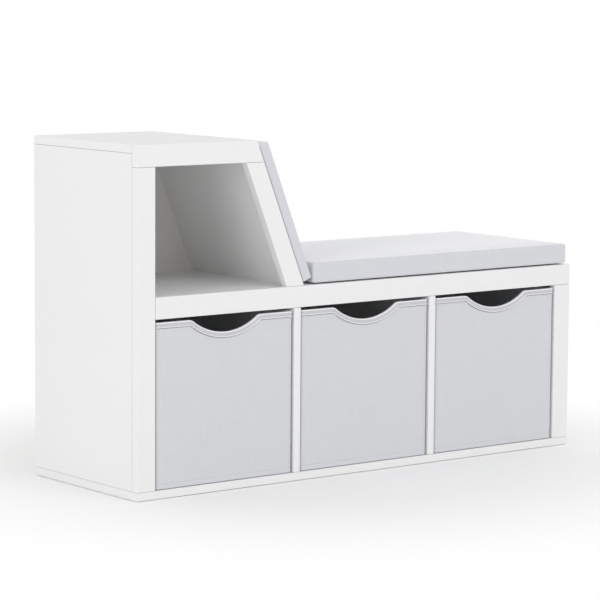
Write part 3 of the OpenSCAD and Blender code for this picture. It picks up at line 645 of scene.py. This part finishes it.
# %% Stitch tree
def stitch_tree():
    tree = bpy.data.node_groups.new("stitches_on_a_path", "GeometryNodeTree")
    tree.interface.new_socket("Geometry", in_out="INPUT", socket_type="NodeSocketGeometry")
    sizes = {"Pitch": 4 * MM, "Stitch Length": 2.8 * MM, "Thread Radius": 0.3 * MM}
    for title, value in sizes.items():
        socket = tree.interface.new_socket(title, in_out="INPUT", socket_type="NodeSocketFloat")
        socket.default_value, socket.min_value = value, 0.05 * MM
    tree.interface.new_socket("Thread", in_out="INPUT", socket_type="NodeSocketMaterial")
    tree.interface.new_socket("Geometry", in_out="OUTPUT", socket_type="NodeSocketGeometry")

    def add(kind, links=None, **settings):
        made = tree.nodes.new(kind)
        for name, value in settings.items():
            setattr(made, name, value)
        for name, value in (links or {}).items():
            if isinstance(value, bpy.types.NodeSocket):
                tree.links.new(value, made.inputs[name])
            else:
                made.inputs[name].default_value = value
        return made

    given = add("NodeGroupInput").outputs
    curve = add("GeometryNodeMeshToCurve", {"Mesh": given["Geometry"]})
    stepped = add("GeometryNodeResampleCurve",
                  {"Curve": curve.outputs[0], "Length": given["Pitch"]}, mode="LENGTH")
    ball = add("GeometryNodeMeshUVSphere", {"Segments": 6, "Rings": 5, "Radius": 1.0})
    half = add("ShaderNodeMath", {0: given["Stitch Length"], 1: 0.5}, operation="MULTIPLY")
    radius = given["Thread Radius"]
    size = add("ShaderNodeCombineXYZ", {"X": radius, "Y": radius, "Z": half.outputs[0]})
    uneven_by = {"Min": (0.92, 0.92, 0.9), "Max": (1.06, 1.06, 1.08), "Seed": 11}
    jitter = add("FunctionNodeRandomValue", uneven_by, data_type="FLOAT_VECTOR")
    scale = add("ShaderNodeVectorMath", {0: size.outputs[0], 1: jitter.outputs[0]},
                operation="MULTIPLY")
    tangent = add("GeometryNodeInputTangent")
    turn = add("FunctionNodeAlignRotationToVector", {"Vector": tangent.outputs[0]}, axis="Z")
    placed = add("GeometryNodeInstanceOnPoints", {
        "Points": stepped.outputs[0], "Instance": ball.outputs[0],
        "Rotation": turn.outputs[0], "Scale": scale.outputs[0]})
    real = add("GeometryNodeRealizeInstances", {"Geometry": placed.outputs[0]})
    smooth = add("GeometryNodeSetShadeSmooth", {"Geometry": real.outputs[0]})
    finished = add("GeometryNodeSetMaterial",
                   {"Geometry": smooth.outputs[0], "Material": given["Thread"]})
    add("NodeGroupOutput", {"Geometry": finished.outputs[0]})
    return tree


STITCHES = stitch_tree()


def sew(name, paths, pitch, length, thread, finish):
    """Stitches along closed paths, as one plain mesh."""
    points, edges = [], []
    for path in paths:
        first = len(points)
        points += [tuple(p) for p in path]
        edges += [(first + i, first + (i + 1) % len(path)) for i in range(len(path))]
    mesh = bpy.data.meshes.new(name)
    mesh.from_pydata(points, edges, [])
    piece = bpy.data.objects.new(name, mesh)
    bpy.context.scene.collection.objects.link(piece)
    sewing = piece.modifiers.new("stitches", "NODES")
    sewing.node_group = STITCHES
    wanted = {"Pitch": pitch, "Stitch Length": length, "Thread Radius": thread, "Thread": finish}
    for item in STITCHES.interface.items_tree:
        if item.item_type == "SOCKET" and item.in_out == "INPUT" and item.name in wanted:
            sewing[item.identifier] = wanted[item.name]
    return bake_modifiers(piece)


SEAM_DOWN = 5.9 * MM   # the tape's seam, down from the rim
SHADE_LINE_DOWN = 9.0 * MM   # depth of the dark grey thread that paints the shade in the crease under the tape
for body in BINS:
    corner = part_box(body + "_cover")[0]
    outer = [np.add(corner, rim_point(stop, 0.1 * MM, SHADE_LINE_DOWN)) for stop in STOPS]
    inner = [np.add(corner, rim_point(stop, -WALL_T - 0.85 * MM, SEAM_DOWN)) for stop in STOPS]
    hem = [(corner.x + p[0], corner.y + p[1], corner.z + HEM + 1.6 * MM)
           for p in (stop[0] + stop[2] * 0.05 * MM for stop in STOPS)]
    seam = sew(body + "_stitches", [inner, hem], 3.8 * MM, 2.7 * MM, 0.28 * MM, thread_finish)
    # Painted shade: a dark grey thread along the crease under the tape's hem, for the shadow line
    # there
    painted_shade_line = sew(body + "_painted_shade_thread", [outer], 2.4 * MM, 2.4 * MM, 0.6 * MM, shade_thread_finish)
    for piece in (seam, painted_shade_line):
        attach(piece, body)
print("stitches sewn,", len(seam.data.polygons), "faces on each bin")

# %% [markdown]
# ## A block for a cushion
# Both cushions are foam blocks in sewn covers. The block is six grids wrapped round a box whose
# edges are rounded, so its lines of points run straight along the edges where the seams are.
# Each face keeps its own flat map in metres for the weave.

# %% Cushion block
def edge_steps(length, radius, step):
    """Grid lines along one side: closer over the rounding, even between."""
    ends = [0, 0.3 * radius, 0.65 * radius, radius]
    middle = spaced(radius, length - radius, step)[1:-1]
    return np.concatenate([ends, middle, [length - e for e in reversed(ends)]])


def cushion_block(name, size, radius, step, finish):
    """A box of that size with rounded edges, its corner at the origin."""
    lines = [edge_steps(s, radius, step) for s in size]
    low, high = np.full(3, radius), np.array(size) - radius
    shape = bmesh.new()
    layer = shape.loops.layers.uv.new("cloth_map")
    known = {}

    def point(p):
        key = tuple(np.round(p, 7))
        if key not in known:
            core = np.clip(p, low, high)
            away = p - core
            place = core + away / np.linalg.norm(away) * radius
            known[key] = shape.verts.new(place)
        return known[key]

    for axis in range(3):
        a, b = [(1, 2), (0, 2), (0, 1)][axis]
        for end in (0.0, size[axis]):
            for i in range(len(lines[a]) - 1):
                for j in range(len(lines[b]) - 1):
                    corners = []
                    for da, db in ((0, 0), (1, 0), (1, 1), (0, 1)):
                        p = np.zeros(3)
                        p[axis], p[a], p[b] = end, lines[a][i + da], lines[b][j + db]
                        corners.append(p)
                    face = shape.faces.new([point(p) for p in corners])
                    for loop, p in zip(face.loops, corners):
                        loop[layer].uv = (p[a], p[b])
    bmesh.ops.recalc_face_normals(shape, faces=shape.faces)
    mesh = bpy.data.meshes.new(name)
    shape.to_mesh(mesh)
    shape.free()
    mesh.shade_smooth()
    mesh.materials.append(finish)
    made = bpy.data.objects.new(name, mesh)
    bpy.context.scene.collection.objects.link(made)
    return made


print("cushion block helper ready")

# %% [markdown]
# ## Swell the cushions
# Foam pushes a cover out until the cloth pulls tight, and the seams hold it back. Cloth
# simulation with a little air pressure does the same: the block swells, each point's travel is
# capped so the cushion stays firm and flat, and the cap is small near the seams. The side that
# rests on the bench stays flat. Fine puckers run in from the seams at the end.

# %% Cloth with pressure
def positions(mesh):
    flat = np.zeros(len(mesh.vertices) * 3, np.float32)
    mesh.vertices.foreach_get("co", flat)
    return flat.reshape(-1, 3).astype(float)


FRAMES = 20              # of simulation
EDGE_HOLD = 0.18         # share of the cap that a seam still lets the cloth travel
SEAM_PUCKER = 0.22 * MM


def swell(piece):
    """Where some frames of pressure take each point of the block."""
    air = piece.modifiers.new("air", "CLOTH")
    air.settings.quality = 5
    air.settings.mass = 0.3
    air.settings.tension_stiffness = air.settings.compression_stiffness = 12
    air.settings.bending_stiffness = 0.6
    air.settings.use_pressure = True
    air.settings.uniform_pressure_force = 4
    air.settings.effector_weights.gravity = 0
    air.point_cache.frame_start, air.point_cache.frame_end = 1, FRAMES
    for number in range(1, FRAMES + 1):
        bpy.context.scene.frame_set(number)
    shown = piece.evaluated_get(bpy.context.evaluated_depsgraph_get())
    moved = positions(shown.to_mesh())
    shown.to_mesh_clear()
    piece.modifiers.clear()
    bpy.context.scene.frame_set(1)
    return moved


def cushion(name, size, radius, step, cap, rest_axis):
    """A swollen block in its own frame. rest_axis is the axis whose low face lies on the bench."""
    piece = cushion_block(name, size, radius, step, cushion_cloth)
    start = positions(piece.data)
    moved = swell(piece)
    box = np.array(size)
    edge = np.sort(np.minimum(start, box - start), axis=1)[:, 1]
    hold = EDGE_HOLD + (1 - EDGE_HOLD) * np.clip(edge / 0.05, 0, 1) ** 0.7
    travel = moved - start
    far = np.linalg.norm(travel, axis=1, keepdims=True)
    limit = (cap * hold)[:, None]
    travel = travel / np.maximum(far, 1e-9) * limit * np.tanh(far / limit)
    final = start + travel
    for i in range(len(final)):
        pucker = noise.noise(Vector(start[i]) / 0.017) * math.exp(-edge[i] / 0.02)
        final[i] += travel[i] / max(np.linalg.norm(travel[i]), 1e-9) * SEAM_PUCKER * pucker
    final[:, rest_axis] = np.maximum(final[:, rest_axis], 0)
    piece.data.vertices.foreach_set("co", final.astype(np.float32).ravel())
    piece.data.update()
    return piece


def hide_under(piece, name, depth, finish):
    """A copy of a closed piece, shrunk inwards by depth, for what is inside it."""
    mesh = piece.data.copy()
    mesh.name = name
    normals = np.zeros(len(mesh.vertices) * 3, np.float32)
    mesh.vertices.foreach_get("normal", normals)
    shrunk = positions(mesh) - normals.reshape(-1, 3) * depth
    mesh.vertices.foreach_set("co", shrunk.astype(np.float32).ravel())
    mesh.materials.clear()
    mesh.materials.append(finish)
    made = bpy.data.objects.new(name, mesh)
    bpy.context.scene.collection.objects.link(made)
    return made


def subdivide(piece):
    piece.modifiers.new("smooth", "SUBSURF").levels = 1
    piece.modifiers["smooth"].render_levels = 1
    return bake_modifiers(piece)


print("cloth tools ready, simulation", "on")

# %% [markdown]
# ## Seams of the cushions
# A boxed cushion has one seam round its top panel and one round its bottom panel. The two
# edges of cloth folded inside lift a low bead, no thicker than a match. It is swept along the
# grid line that runs over each rounded edge, after the swelling, so it sits on the cloth.

# %% Bead along an edge
def edge_loop(size, step, radius, axis, end):
    """The places where the grid crosses the box's edges round one end of axis."""
    a, b = [(1, 2), (0, 2), (0, 1)][axis]
    la, lb = edge_steps(size[a], radius, step), edge_steps(size[b], radius, step)
    loop = [(p, 0.0) for p in la[:-1]] + [(size[a], p) for p in lb[:-1]]
    loop += [(p, size[b]) for p in la[:0:-1]] + [(0.0, p) for p in lb[:0:-1]]
    places = []
    for pa, pb in loop:
        p = np.zeros(3)
        p[axis], p[a], p[b] = end, pa, pb
        core = np.clip(p, radius, np.array(size) - radius)
        places.append(core + (p - core) / np.linalg.norm(p - core) * radius)
    return np.array(places)


def seam_bead(name, path, thickness, finish):
    """A thin round bead along a closed path."""
    ahead, behind = np.roll(path, -1, axis=0), np.roll(path, 1, axis=0)
    run = ahead - behind
    run /= np.linalg.norm(run, axis=1, keepdims=True)
    out = path - path.mean(axis=0)
    out -= (out * run).sum(axis=1, keepdims=True) * run
    out /= np.linalg.norm(out, axis=1, keepdims=True)
    up = np.cross(run, out)
    turns = np.linspace(0, 2 * math.pi, 9)[:-1]
    rings = np.array([
        [path[i] + thickness * (math.cos(t) * out[i] + math.sin(t) * up[i]) for t in turns]
        for i in [*range(len(path)), 0]])
    walked = np.concatenate([[0], np.cumsum(np.linalg.norm(ahead - path, axis=1))])
    maps = np.array([[(w, thickness * t) for t in np.linspace(0, 2 * math.pi, 9)] for w in walked])
    return weld(row_mesh(name, rings, maps, finish))


print("seam bead helper ready")

# %% [markdown]
# ## Both cushions in place
# Each cushion is made lying in its own frame, with one corner at the origin, and then its mesh
# is carried to the bench: the seat cushion straight, the back cushion leaning with the slope.
# The tapes' and boards' solids say where. The cover replaces the solid cover, and the foam
# inside follows the swollen shape.

# %% Seat and back cushions
LEAN = math.radians(22)
BEAD_R = 0.8 * MM
seat_low, seat_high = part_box("seat_cushion_cover")
seat_size = np.array(seat_high - seat_low)
seat_place = Matrix.Translation(seat_low)

back_low, back_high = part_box("back_cushion_cover")
BACK_T, BACK_R = 20 * MM, 4 * MM
back_rise = back_high.z - back_low.z - (BACK_T - 2 * BACK_R) * math.sin(LEAN) - 2 * BACK_R
back_run = back_rise / math.cos(LEAN) + 2 * BACK_R
back_size = np.array([BACK_T, back_high.y - back_low.y, back_run])
back_turn = Matrix.Rotation(-LEAN, 4, "Y")
back_corner = Vector((
    back_high.x - BACK_R - (BACK_T - BACK_R) * math.cos(LEAN) + BACK_R * math.sin(LEAN),
    back_low.y,
    back_low.z + BACK_R - BACK_R * math.cos(LEAN) - BACK_R * math.sin(LEAN)))
back_place = Matrix.Translation(back_corner) @ back_turn
print("back cushion", [round(s / MM, 1) for s in back_size], "mm")

CUSHIONS = (    # body, size, rounding, grid step, most travel, resting axis, place
    ("seat_cushion", seat_size, 6 * MM, 7 * MM, 2.6 * MM, 2, seat_place),
    ("back_cushion", back_size, 4 * MM, 6 * MM, 1.8 * MM, 0, back_place),
)
for body, size, radius, step, cap, rest_axis, place in CUSHIONS:
    pad = cushion(body + "_sewn_cover", size, radius, step, cap, rest_axis)
    foam = hide_under(pad, body + "_block_of_foam", 1.2 * MM, foam_finish.material)
    start = {tuple(np.round(p, 5)): i for i, p in enumerate(
        positions(cushion_block("probe", size, radius, step, cushion_cloth).data))}
    bpy.data.objects.remove(bpy.data.objects["probe"])
    now = positions(pad.data)
    beads = []
    for end in (0.0, size[rest_axis]):
        loop = edge_loop(size, step, radius, rest_axis, end)
        path = np.array([now[start[tuple(np.round(p, 5))]] for p in loop])
        beads.append(path)
    subdivide(pad)
    pieces = [pad, foam]
    for number, path in enumerate(beads):
        pieces.append(seam_bead(f"{body}_seam_{number + 1}", path, BEAD_R, cushion_cloth))
    for piece in pieces:
        piece.data.transform(place)
        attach(piece, body)
    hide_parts(body + "_cover")
    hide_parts(body + "_foam")
    for piece in [pad] + pieces[2:]:
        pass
    print(body, len(pad.data.polygons), "faces")

# %% [markdown]
# ## Floor
# The bench stands on a plain pale plane. Away from the bench it fades to pure white, but only
# for the camera and for mirrors: to the bench it stays an ordinary pale floor, and it keeps the
# bench's soft shadow. It lies 0.9 mm under the base board, which leaves a fine dark line along
# the foot, as in the photograph.

# %% Stage
floor_mesh = bpy.data.meshes.new("floor")
REACH, UNDER = 9.0, -0.9 * MM
FADE_FROM, FADE_TO = 0.38, 1.0    # metres from the middle of the bench
signs = ((-1, -1), (1, -1), (1, 1), (-1, 1))
floor_mesh.from_pydata([(i * REACH, j * REACH, UNDER) for i, j in signs], [], [(0, 1, 2, 3)])
floor = bpy.data.objects.new("floor", floor_mesh)
bpy.context.scene.collection.objects.link(floor)
ground = Finish("pale_floor", Roughness=0.9, Specular_IOR_Level=0.0)
ground.show("Base Color", tone(247, 247, 247))
x, y, _ = ground.axes(ground.place())
away = (x * x + y * y).root()
seen = ground.node("ShaderNodeLightPath", output="Is Camera Ray")
mirrored = ground.node("ShaderNodeLightPath", output="Is Glossy Ray")
fade = away.step(FADE_FROM, FADE_TO) * seen.peak(mirrored)
glow = ground.node("ShaderNodeEmission", {}, {"Color": (1, 1, 1, 1), "Strength": 1.0})
shader = Signal(ground, ground.shader.outputs[0])
mixed = ground.node("ShaderNodeMixShader", {}, {0: fade, 1: shader, 2: glow})
ground.feed(ground.tree.nodes["Material Output"].inputs["Surface"], mixed)
floor_mesh.materials.append(ground.material)

# %% [markdown]
# ## Light
# A pale object in a pale room shows its form only if its faces differ a little. A dome of
# even white light does most of the work. One soft lamp on the left lifts the tall end's side and
# reaches into the niche, and another, high in front and a little to the right, lifts the fronts
# and leaves each bin's left edge in the shade of its stile. The dome is white to the eye and to
# gloss, and lights the bench gently.

# %% Light
DOME = 0.84
room = bpy.data.worlds.new("white_room")
bpy.context.scene.world = room
room.use_nodes = True
sky = Wiring(room.node_tree)
ray = [sky.node("ShaderNodeLightPath", output=i) for i in ("Is Camera Ray", "Is Glossy Ray")]
dome, white = [sky.node("ShaderNodeBackground", {}, {"Color": (1, 1, 1, 1), "Strength": light})
               for light in (DOME, 1.0)]
chosen = sky.node("ShaderNodeMixShader", {}, {0: ray[0].peak(ray[1]), 1: dome, 2: white})
sky.feed(room.node_tree.nodes["World Output"].inputs["Surface"], chosen)


def lamp(name, place, aim, size, watts):
    data = bpy.data.lights.new(name, "AREA")
    data.shape, data.size, data.energy = "DISK", size, watts
    made = bpy.data.objects.new(name, data)
    made.location = place
    made.rotation_euler = (Vector(aim) - Vector(place)).to_track_quat("-Z", "Y").to_euler()
    bpy.context.scene.collection.objects.link(made)


lamp("left_lamp", (-4.1, -1.7, 1.0), (-0.5, 0, 0.3), 2.0, 27)
lamp("front_lamp", (1.0, -3.9, 2.8), (0, 0, 0.3), 2.4, 25)

# %% [markdown]
# ## Camera
# A long lens from well back keeps upright edges upright and the bench's proportions true. It
# stands a little above the seat and to the left, so the side, the niche and all three bins
# show at once.

# %% Camera
eye = bpy.data.cameras.new("eye")
eye.lens = 165.26
eye.clip_start, eye.clip_end = 0.1, 60
camera = bpy.data.objects.new("camera", eye)
azimuth, elevation, roll = map(math.radians, (-37.931, 6.796, 0.393))
level = math.cos(elevation)
behind = Vector((math.sin(azimuth) * level, -math.cos(azimuth) * level, math.sin(elevation)))
aim = (-behind).to_track_quat("-Z", "Y") @ Matrix.Rotation(roll, 4, "Z").to_quaternion()
camera.location = (-3.2028, -4.0741, 0.9221)
camera.rotation_mode = "QUATERNION"
camera.rotation_quaternion = aim
bpy.context.scene.collection.objects.link(camera)
bpy.context.scene.camera = camera
bpy.context.scene.view_settings.view_transform = "Standard"
print("camera at", [round(c, 3) for c in camera.location])
